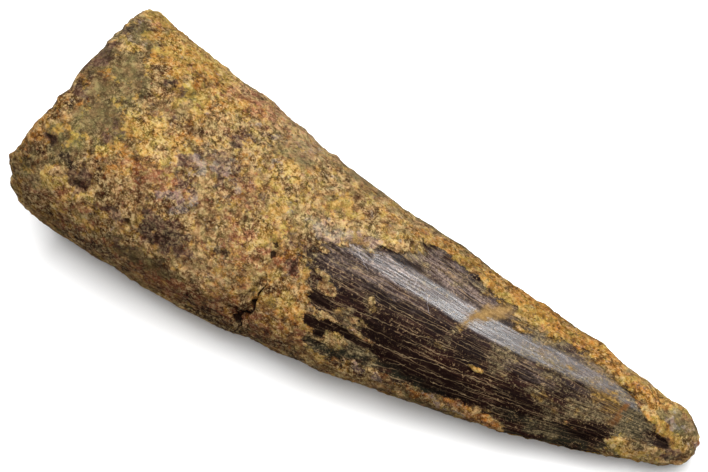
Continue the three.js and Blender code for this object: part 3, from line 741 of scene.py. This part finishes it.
# the sand: a mottle of many sizes, in grains of a medium sand whose places are jostled
GRAIN = 0.42
jostle = add_node(tree, "ShaderNodeTexNoise", {"Vector": in_millimetres, "Scale": 1.3})
jostle_inputs = {0: jostle.outputs["Color"], 1: (0.9, 0.9, 0.9)}
jostle = add_node(tree, "ShaderNodeVectorMath", jostle_inputs, operation="MULTIPLY")
jostled = add_node(tree, "ShaderNodeVectorMath", {0: in_millimetres, 1: jostle.outputs[0]})
grain_inputs = {"Vector": jostled.outputs[0], "Scale": 1 / GRAIN}
cells = add_node(tree, "ShaderNodeTexVoronoi", grain_inputs)
grain = add_node(tree, "ShaderNodeSeparateColor", {0: cells.outputs["Color"]}).outputs[0]
lightness = added(noise(in_millimetres, 2.1, 5.0, 0.66), 2.3, -0.68)
lightness = added(grain, 0.14, lightness)
# The standing entry is painted light and shade: lighter on the rises, darker in the hollows.
LIGHTER = {"standing": 0.05, "brown_and_shade": -0.22, "olive_and_shade": -0.14, "bleached": 0.12, "yellow": 0.08}
for name, change in LIGHTER.items():
    lightness = added(attribute(name), change, lightness)
lightness = maths(tree, "ADD", lightness, clamp=True)

SAND = [
    (0.06, (68, 44, 28)), (0.24, (108, 80, 50)), (0.42, (142, 110, 70)),
    (0.62, (172, 140, 90)), (0.82, (196, 164, 110)), (1.0, (218, 190, 140)),
]
sand = add_node(tree, "ShaderNodeValToRGB", {"Fac": lightness})
steps = sand.color_ramp.elements
while len(steps) < len(SAND):
    steps.new(0.5)
for step, (position, colour) in zip(steps, SAND):
    step.position = position
    step.color = tone(*colour)
crust = sand.outputs["Color"]

# Each stain has a dark and a light tone, and comes in patches: [size of the patches in
# millimetres, how much there is everywhere, how much more where it is strong].
STAINS = {
    "olive_and_shade": [1.9, 0.20, 0.76, (76, 62, 44), (150, 130, 88)],
    "yellow": [2.0, 0.38, 0.36, (150, 110, 48), (226, 186, 98)],
    "orange": [1.6, 0.24, 0.36, (138, 86, 36), (216, 156, 72)],
    "red": [1.3, 0.27, 0.34, (108, 58, 40), (186, 128, 94)],
    "pale": [1.4, 0.20, 0.44, (126, 106, 98), (190, 170, 150)],
    "plum": [1.5, 0.19, 0.50, (56, 38, 33), (136, 109, 94)],
    "soot_and_shade": [1.1, 0.12, 0.54, (34, 24, 24), (82, 66, 56)],
}
for number, (stain, (size, everywhere, more, dark, light)) in enumerate(STAINS.items()):
    amount = added(attribute(stain), more, everywhere)
    if stain in ("yellow", "orange", "red", "pale"):
        amount = added(attribute("olive_and_shade"), -0.16, amount)
    own_place = shifted((17 * number, 5 * number, -9 * number))
    mask = times(patch(own_place, size, amount, 0.05, 0.7), 0.82)
    crust = mix(tree, mask, crust, mix(tree, lightness, tone(*dark), tone(*light)))

# The stains also tint what lies between their patches, unevenly.
WASHES = {
    "yellow": (1.01, 1.0, 0.86), "orange": (1.03, 0.95, 0.80), "red": (1.03, 0.88, 0.84),
    "olive_and_shade": (0.90, 0.96, 0.86), "plum": (0.84, 0.78, 0.82), "pale": (0.97, 1.0, 1.12),
    "soot_and_shade": (0.74, 0.76, 0.80), "brown_and_shade": (0.87, 0.77, 0.71),
}
uneven = ramp(tree, noise(shifted((8, 3, 25)), 1.6, 5.0, 0.7), 0.36, 0.62)
uneven = ramp(tree, uneven, 0.0, 1.0, 0.5, 1.0)
for stain, wash in WASHES.items():
    share = times(attribute(stain), uneven)
    crust = mix(tree, share, crust, (*wash, 1), "MULTIPLY")
crust = mix(tree, times(attribute("bleached"), 0.3), crust, tone(200, 168, 132))
hue = ramp(tree, noise(shifted((3, 31, 12)), 1.3, 4.0, 0.65), 0.36, 0.64)
rosy_or_green = mix(tree, hue, (1.10, 0.95, 0.98, 1), (0.92, 1.03, 0.99, 1))
crust = mix(tree, 1.0, crust, rosy_or_green, "MULTIPLY")

# the root's wall in the break, paler than the crust
wall_tone = mix(tree, lightness, tone(66, 54, 44), tone(150, 132, 98))
crust = mix(tree, times(attribute("wall"), 0.7), crust, wall_tone)

# painted shade in the crevices between the crumbs of sand, in the pores of the grit and in the
# hollows, then pale grains, partly real and partly painted glints
crease = maths(tree, "SUBTRACT", noise(in_millimetres, 1.3, 5.0, 0.75), 0.5)
crease = maths(tree, "ABSOLUTE", crease)
closed = ramp(tree, noise(shifted((7, 12, 2)), 1.5, 4.0, 0.75), 0.46, 0.60)
crumbs = maths(tree, "MAXIMUM", ramp(tree, crease, 0.0, 0.06), closed)
grit = noise(in_millimetres, 0.5, 3.0, 0.85)
shade = added(grit, 3.5, -0.74)
shade = added(grain, 0.14, shade)
shade = added(attribute("standing"), 0.10, shade)
shade = times(shade, ramp(tree, crumbs, 0.0, 1.0, 0.42, 1.08))
roughened = ramp(tree, noise(in_millimetres, 5.0, 2.0), 0.38, 0.62, 0.6, 1.25)
roughened = times(roughened, by_mark("smooth", 1.0, 0.8))
shade = added(maths(tree, "SUBTRACT", shade, 1.0), roughened, 1.0)
# painted shade: the sand turns dark brown where the shade value falls below one
crust = mix(tree, ramp(tree, shade, 1.0, 0.1, 0.0, 0.85, "LINEAR"), crust, tone(46, 23, 6))
# pale grains, partly painted glints
pale_grain_and_glint = ramp(tree, shade, 1.0, 1.7, 0.0, 0.6, "LINEAR")
pale_grain_and_glint = times(pale_grain_and_glint, by_mark("olive_and_shade", 1.0, 0.5))
pale_grain_and_glint = times(pale_grain_and_glint, by_mark("plum", 1.0, 0.35))
crust = mix(tree, pale_grain_and_glint, crust, tone(238, 206, 148))

# small dark pits, then the crack and the larger pits with ragged edges, darkened inside as
# painted shade
pit_amount = added(attribute("orange"), 0.12, 0.27)
pit_specks = patch(in_millimetres, 0.85, pit_amount, 0.04, 0.7)
crust = mix(tree, times(pit_specks, 0.65), crust, tone(66, 42, 32))
crack_gap = maths(tree, "ABSOLUTE", attribute("from_crack"))
ragged_gap = added(grit, 0.9, crack_gap)
ragged_pit = added(grit, 0.9, attribute("pits"))
crack_mask = times(ramp(tree, ragged_gap, 1.6, 1.2), attribute("near_crack"))
crack_mask = maths(tree, "MAXIMUM", crack_mask, ramp(tree, ragged_pit, 0.8, 1.2))
crust = mix(tree, times(crack_mask, 0.92), crust, tone(30, 17, 14))

# where the enamel is bare: its window has a ragged edge, drawn out a little lengthwise
along_course = stretched(course, (0.12, 1, 1))
ragged = added(noise(in_millimetres, 1.5, 6.0, 0.74), 3.6, -1.8)
streaked = added(noise(along_course, 1.0, 4.0), 1.6, -0.8)
edge_depth = maths(tree, "ADD", attribute("enamel_depth"), maths(tree, "ADD", ragged, streaked))
chips = noise(stretched(course, (0.5, 1, 1), (4, 9, 2)), 1.1, 6.0, 0.8)
bare_chips = added(chips, 3.0, attribute("bare_spots"))
crust_chips = added(chips, -3.0, attribute("crusted_spots"))
enamel_mask = ramp(tree, edge_depth, -0.15, 0.15)
enamel_mask = maths(tree, "MAXIMUM", enamel_mask, ramp(tree, bare_chips, 1.95, 2.1))
enamel_mask = maths(tree, "MINIMUM", enamel_mask, ramp(tree, crust_chips, -0.9, -1.1))

# the enamel: nearly black, purple in places, with a painted sheen in grey streaks, and green-black
# where it is olive, which low in the window is partly painted shade
dot = noise(in_millimetres, 0.42, 3.0, 0.85)
streak = noise(stretched(course, (0.22, 2.2, 2.2)), 1.0, 4.0, 0.7)
enamel_tone = mix(tree, noise(along_course, 0.8, 5.0, 0.7), tone(3, 0, 0), tone(36, 15, 10))
purple = patch(stretched(course, (0.35, 1, 1)), 2.4, 0.42, 0.1)
enamel_tone = mix(tree, times(purple, 0.35), enamel_tone, tone(58, 30, 24))
enamel_tone = mix(tree, ramp(tree, streak, 0.51, 0.72, 0.0, 0.5), enamel_tone, tone(104, 74, 58))
in_streaks = ramp(tree, streak, 0.38, 0.62, 0.06, 1.0)
# painted sheen in streaks
painted_sheen = times(attribute("painted_sheen"), in_streaks)
speckled_sheen = mix(tree, ramp(tree, dot, 0.38, 0.62), tone(88, 70, 62), tone(168, 148, 138))
enamel_tone = mix(tree, painted_sheen, enamel_tone, speckled_sheen)
# green-black where it is olive: stain, and painted shade on the window's lower part
greenish_and_shade = times(attribute("olive_and_shade"), 0.7)
enamel_tone = mix(tree, greenish_and_shade, enamel_tone, tone(38, 42, 31))
enamel_tone = mix(tree, ramp(tree, dot, 0.57, 0.68, 0.0, 0.85), enamel_tone, tone(160, 130, 96))
# dark bare enamel, partly painted shade along the step and low in the window
bare_dark_and_shade = noise(stretched(course, (0.4, 1, 1), (3, 7, 1)), 0.9, 5.0, 0.75)
bare_dark_and_shade = added(bare_dark_and_shade, 2.2, attribute("clean_and_shade"))
bare_dark_and_shade = ramp(tree, bare_dark_and_shade, 1.45, 1.75, 0.0, 0.7)
enamel_tone = mix(tree, bare_dark_and_shade, enamel_tone, tone(18, 8, 6))

# fine pale lines of dust between the ridges, which wander, break off and fade
course_parts = add_node(tree, "ShaderNodeSeparateXYZ", {0: course}).outputs
turn = maths(tree, "ARCTAN2", course_parts[1], course_parts[2])
wander = times(noise(stretched(course, (0.10, 0.3, 0.3)), 1.0, 3.0, 0.5), 1.6)
kinks = noise(stretched(course, (0.5, 0.7, 0.7)), 1.0, 3.0, 0.6)
wander = added(kinks, 0.55, wander)
which_line = added(turn, RIDGES / (2 * math.pi), wander)
off_middle = maths(tree, "SUBTRACT", maths(tree, "FRACT", which_line), 0.5)
off_middle = maths(tree, "ABSOLUTE", off_middle)
LINE_WIDTH = 0.045
line_mask = ramp(tree, off_middle, LINE_WIDTH, LINE_WIDTH * 0.2)
line_breaks = patch(stretched(course, (0.2, 2, 2)), 1.0, 0.52, 0.06)
line_mask = times(line_mask, line_breaks)
faded = ramp(tree, noise(stretched(course, (0.3, 1.0, 1.0)), 0.9, 3.0), 0.35, 0.65, 0.3, 1.1)
line_mask = times(times(line_mask, faded), 0.78)
fine_mask = noise(stretched(course, (0.16, 4.5, 4.5)), 1.0, 4.0, 0.7)
fine_mask = ramp(tree, fine_mask, 0.58, 0.70, 0.0, 0.6)
line_mask = maths(tree, "MAXIMUM", line_mask, fine_mask)
line_mask = times(line_mask, by_mark("facet", 0.9, 0.3))
line_mask = times(line_mask, by_mark("clean_and_shade", 1.0, 0.6))

# dust: clouds of powder, a streaky film and loose specks, swept off in streaks
dust_amount = added(attribute("dust"), 0.44, 0.17)
dust_amount = added(attribute("clean_and_shade"), -0.4, dust_amount)
dust_amount = maths(tree, "ADD", dust_amount, ramp(tree, edge_depth, 0.0, 1.6, 0.18, 0.0))
dust_light = ramp(tree, dot, 0.3, 0.7)
dust_tone = mix(tree, dust_light, tone(64, 54, 37), tone(178, 158, 116))
warm_dust = mix(tree, dust_light, tone(108, 78, 38), tone(196, 156, 82))
warmth = added(attribute("yellow"), 0.5, 0.30)
dust_tone = mix(tree, patch(in_millimetres, 2.2, warmth, 0.1), dust_tone, warm_dust)
clouds = patch(stretched(course, (0.6, 1, 1)), 1.5, dust_amount, 0.08, 0.95)
speckle = patch(in_millimetres, 0.32, maths(tree, "ADD", dust_amount, 0.06), 0.05, 0.7)
powder = noise(stretched(course, (0.6, 1.6, 1.6)), 0.5, 4.0, 0.8)
dusted = times(clouds, ramp(tree, powder, 0.42, 0.58, 0.05, 1.0))
film = noise(stretched(course, (0.5, 1, 1)), 1.8, 6.0, 0.78)
film = added(film, 6.0, -3.25)
film = added(attribute("dust"), 0.95, film)
film = added(attribute("clean_and_shade"), -0.9, film)
film = ramp(tree, film, 0.0, 1.1, 0.0, 0.75)
film = times(film, ramp(tree, dot, 0.36, 0.6, 0.3, 1.05))
dusted = maths(tree, "MAXIMUM", dusted, film)
dusted = maths(tree, "MAXIMUM", dusted, times(speckle, 0.45))
swept = noise(stretched(course, (0.3, 1.7, 1.7), (5, 2, 8)), 0.8, 5.0, 0.75)
dusted = times(dusted, ramp(tree, swept, 0.40, 0.57, 0.2, 1.2))
enamel_tone = mix(tree, dusted, enamel_tone, dust_tone)
enamel_tone = mix(tree, line_mask, enamel_tone, tone(188, 156, 116))


def drawn_line(name, width, strength):
    """A thin, uneven stroke along the lines that the attributes of this name give."""
    gap = maths(tree, "ABSOLUTE", attribute("from_" + name))
    gap = added(dot, width * 2.0, gap)
    stroke = times(ramp(tree, gap, width * 1.8, width * 1.1), strength)
    return times(stroke, attribute("near_" + name))


long_line = times(drawn_line("long_line", 0.08, 0.8), faded)
enamel_tone = mix(tree, long_line, enamel_tone, tone(160, 136, 102))
enamel_tone = mix(tree, drawn_line("scratch", 0.05, 0.6), enamel_tone, tone(190, 182, 184))

# the clay and the healed crack
smear_edge = added(noise(in_millimetres, 0.9), 2.0, attribute("smear"))
smeared = ramp(tree, smear_edge, 0.4, 2.0)
clay = mix(tree, dust_light, tone(146, 112, 68), tone(192, 156, 98))
enamel_tone = mix(tree, times(smeared, 0.88), enamel_tone, clay)
healed_mask = times(patch(in_millimetres, 1.2, 0.55, 0.1), 0.85)
healed_mask = times(attribute("healed"), healed_mask)
enamel_tone = mix(tree, healed_mask, enamel_tone, tone(128, 82, 40))
tree.links.new(mix(tree, enamel_mask, crust, enamel_tone), surface.inputs["Base Color"])

# the enamel shines where nothing covers it
covered = maths(tree, "MAXIMUM", maths(tree, "MAXIMUM", dusted, line_mask), smeared)
covered = maths(tree, "MAXIMUM", covered, healed_mask)
bare = times(enamel_mask, ramp(tree, covered, 0.8, 0.0))
polish = ramp(tree, attribute("polish"), 0.0, 1.0, 0.06, 1.0, "LINEAR")
worn = noise(stretched(course, (0.2, 2.4, 2.4)), 0.9, 5.0, 0.75)
polish = times(polish, ramp(tree, worn, 0.34, 0.6, 1.1, 0.42))
polish = times(polish, bare)
tree.links.new(polish, surface.inputs["Coat Weight"])
roughness = ramp(tree, bare, 0.0, 1.0, 0.92, 0.6)
tree.links.new(roughness, surface.inputs["Roughness"])

# heights in millimetres: the domes of the grains and the pores between, and the enamel's fine
# lines with the dust that stands on them
domes = times(cells.outputs["Distance"], -0.10)
pores = added(grit, 0.30, domes)
pores = added(crumbs, 0.10, pores)
pores = times(pores, by_mark("olive_and_shade", 1.0, 0.5))
grain_lines = noise(stretched(course, (0.2, 4.6, 4.6)), 1.0, 4.0, 0.65)
grain_lines = times(grain_lines, 0.03)
grain_lines = added(noise(in_millimetres, 0.35, 3.0, 0.7), 0.008, grain_lines)
raised_dust = added(covered, 0.02, grain_lines)
height = add_node(tree, "ShaderNodeMix", {0: enamel_mask, 2: pores, 3: raised_dust})
bump = add_node(tree, "ShaderNodeBump", {"Height": height.outputs[0], "Distance": 0.001})
coat_bump = add_node(tree, "ShaderNodeBump", {"Height": grain_lines, "Distance": 0.001})
tree.links.new(coat_bump.outputs["Normal"], surface.inputs["Coat Normal"])
tree.links.new(bump.outputs["Normal"], surface.inputs["Normal"])

mesh.materials.clear()
mesh.materials.append(fossil)
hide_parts("tooth")
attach(tooth, "root")

# ---- The surface and the light ---------------------------------------------------------------
# A sheet of white paper in a softly lit room, with a wide softbox overhead. A strip light
# stands beyond the concave edge and shows only as the gloss along the enamel. The camera
# sees the paper whiter than it lights the tooth.
PAPER_SIZE = 6
LIT_PAPER = 0.4
SEEN_PAPER = 0.9
PAPER_GLOW = 0.08

bpy.ops.object.select_all(action="DESELECT")
bpy.ops.mesh.primitive_plane_add(size=PAPER_SIZE, location=(0, 0, 0))
floor = bpy.context.active_object
floor.name = "floor"
paper = bpy.data.materials.new("paper")
paper.use_nodes = True
sheet = paper.node_tree.nodes["Principled BSDF"].inputs
sheet["Roughness"].default_value = 0.8
sheet["Emission Color"].default_value = (1, 1, 1, 1)
seen = paper.node_tree.nodes.new("ShaderNodeLightPath").outputs["Is Camera Ray"]
whiteness = mix(paper.node_tree, seen, (*[LIT_PAPER] * 3, 1), (*[SEEN_PAPER] * 3, 1))
glow = maths(paper.node_tree, "MULTIPLY", seen, PAPER_GLOW)
paper.node_tree.links.new(whiteness, sheet["Base Color"])
paper.node_tree.links.new(glow, sheet["Emission Strength"])
floor.data.materials.append(paper)
floor.visible_glossy = False

LIGHT_DISTANCE = 1.0
# [name, direction, width and height in metres, watts, lights the scene, shows in gloss]
LIGHTS = [
    ("overhead_softbox", (0.03, 0.09, 0.99), 1.1, 1.0, 24.2, True, False),
    ("strip_light", (0.21, 0.54, 0.81), 1.4, 0.32, 32.0, False, True),
]
for name, direction, width, height, watts, lights_scene, shows_in_gloss in LIGHTS:
    direction = Vector(direction).normalized()
    light_data = bpy.data.lights.new(name, "AREA")
    light_data.shape = "RECTANGLE"
    light_data.size = width
    light_data.size_y = height
    light_data.energy = watts
    light = bpy.data.objects.new(name, light_data)
    bpy.context.scene.collection.objects.link(light)
    light.location = TOOTH_MIDDLE + direction * LIGHT_DISTANCE
    light.rotation_euler = direction.to_track_quat("Z", "Y").to_euler()
    light.visible_diffuse = lights_scene
    light.visible_glossy = shows_in_gloss

# The room is white where the camera looks past the paper, dim where it lights the tooth, and
# dimmer still in the gloss.
ROOM_SEEN = 1.0
ROOM_LIGHT = 0.25
ROOM_GLOSS = 0.04
world = bpy.data.worlds.new("room")
world.use_nodes = True
room = world.node_tree
room.nodes["Background"].inputs["Color"].default_value = (1, 1, 1, 1)
rays = room.nodes.new("ShaderNodeLightPath").outputs
less_gloss = ROOM_GLOSS - ROOM_LIGHT
strength = maths(room, "MULTIPLY_ADD", rays["Is Glossy Ray"], less_gloss, ROOM_LIGHT)
more_seen = ROOM_SEEN - ROOM_LIGHT
strength = maths(room, "MULTIPLY_ADD", rays["Is Camera Ray"], more_seen, strength)
room.links.new(strength, room.nodes["Background"].inputs["Strength"])
bpy.context.scene.world = world
bpy.context.scene.view_settings.view_transform = "Standard"
